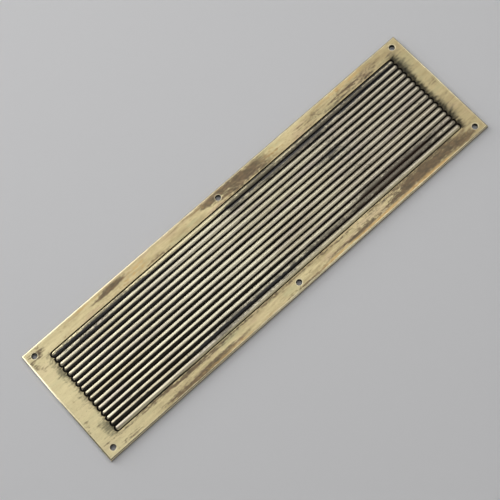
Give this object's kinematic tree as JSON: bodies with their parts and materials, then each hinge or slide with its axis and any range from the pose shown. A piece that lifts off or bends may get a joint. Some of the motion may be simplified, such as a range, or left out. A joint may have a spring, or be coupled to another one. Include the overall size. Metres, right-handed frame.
{
  "type": "reeded finger plate",
  "caption": "Long flat brass door plate with bevelled edges, a sunk field of parallel half-round reeds with rounded ends, and plain screw holes at its corners and mid-sides.",
  "frame": {"origin": "middle of the plate's flat back face", "axes": "+X along the plate's length, +Y across it, +Z out of its reeded face"},
  "size_m": [0.28, 0.077, 0.0033],
  "materials": {
    "plate_brass": "aged brass: relieved and brushed lengthways on the margins, with brown and grey-black patina beside the reeds and in patches",
    "reed_brass": "aged brass: polished along the crests, with black patina in the grooves between the reeds"
  },
  "bodies": {
    "root": {"plate": "plate_brass", "reed_01": "reed_brass", "reed_02": "reed_brass", "reed_03": "reed_brass", "reed_04": "reed_brass", "reed_05": "reed_brass", "reed_06": "reed_brass", "reed_07": "reed_brass", "reed_08": "reed_brass", "reed_09": "reed_brass", "reed_10": "reed_brass", "reed_11": "reed_brass", "reed_12": "reed_brass", "reed_13": "reed_brass", "reed_14": "reed_brass", "reed_15": "reed_brass", "reed_16": "reed_brass"}
  },
  "joints": []
}
